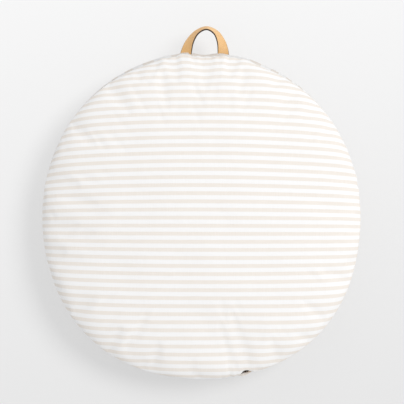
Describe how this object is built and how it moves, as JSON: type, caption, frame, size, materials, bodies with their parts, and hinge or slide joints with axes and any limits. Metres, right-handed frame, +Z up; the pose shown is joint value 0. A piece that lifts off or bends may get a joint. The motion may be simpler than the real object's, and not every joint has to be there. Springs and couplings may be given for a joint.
{
  "type": "nursing pillow",
  "caption": "Round stuffed nursing and lounging pillow with a striped removable cover, a zip in its side seam and a leather loop handle.",
  "frame": {"origin": "centre of the flat patch on the underside that the pillow rests on, at floor level", "axes": "+Z up through the crown, +Y towards the loop handle, +X along the stripes"},
  "size_m": [0.6094, 0.6694, 0.143],
  "materials": {
    "striped_cotton": "woven cotton, fine beige and white stripes",
    "liner_cotton": "plain white cotton",
    "polyester_fibre": "loose white fibre",
    "zip_tape": "woven tape",
    "zip_coil": "nylon coil",
    "zip_metal": "dark antique bronze",
    "tan_leather": "smooth tan leather with dark brown painted edges",
    "satin_label": "blank white satin"
  },
  "bodies": {
    "cushion": {"cover_top_panel": "striped_cotton", "cover_bottom_panel": "striped_cotton", "liner_top_panel": "liner_cotton", "liner_bottom_panel": "liner_cotton", "fibre_fill": "polyester_fibre", "zip_tape_upper": "zip_tape", "zip_tape_lower": "zip_tape", "zip_coil_upper": "zip_coil", "zip_coil_lower": "zip_coil", "zip_top_stop": "zip_metal", "zip_bottom_stop": "zip_metal", "handle_tail_left": "tan_leather", "handle_tail_right": "tan_leather"},
    "slider": {"zip_slider": "zip_metal"},
    "pull": {"zip_pull_ring": "zip_metal", "zip_pull_tab": "tan_leather"},
    "handle": {"handle_strap": "tan_leather"},
    "label": {"care_label": "satin_label"}
  },
  "joints": [
    {"name": "zip_slide", "type": "hinge", "parent": "cushion", "child": "slider", "pos_m": [0, 0, 0.07], "axis": [0, 0, 1], "range_deg": [0, 82]},
    {"name": "zip_pull_swing", "type": "hinge", "parent": "slider", "child": "pull", "pos_m": [0.07608, -0.29763, 0.07], "axis": [0, 0, -1], "range_deg": [0, 170]},
    {"name": "handle_flex", "type": "hinge", "parent": "cushion", "child": "handle", "pos_m": [0.006, 0.3114, 0.07], "axis": [1, 0, 0], "range_deg": [-80, 80], "stiffness_Nm_per_rad": 0.1},
    {"name": "care_label_flex", "type": "hinge", "parent": "cushion", "child": "label", "pos_m": [-0.12932, -0.27733, 0.0685], "axis": [-0.9063, 0.4226, 0], "range_deg": [-10, 90]}
  ]
}
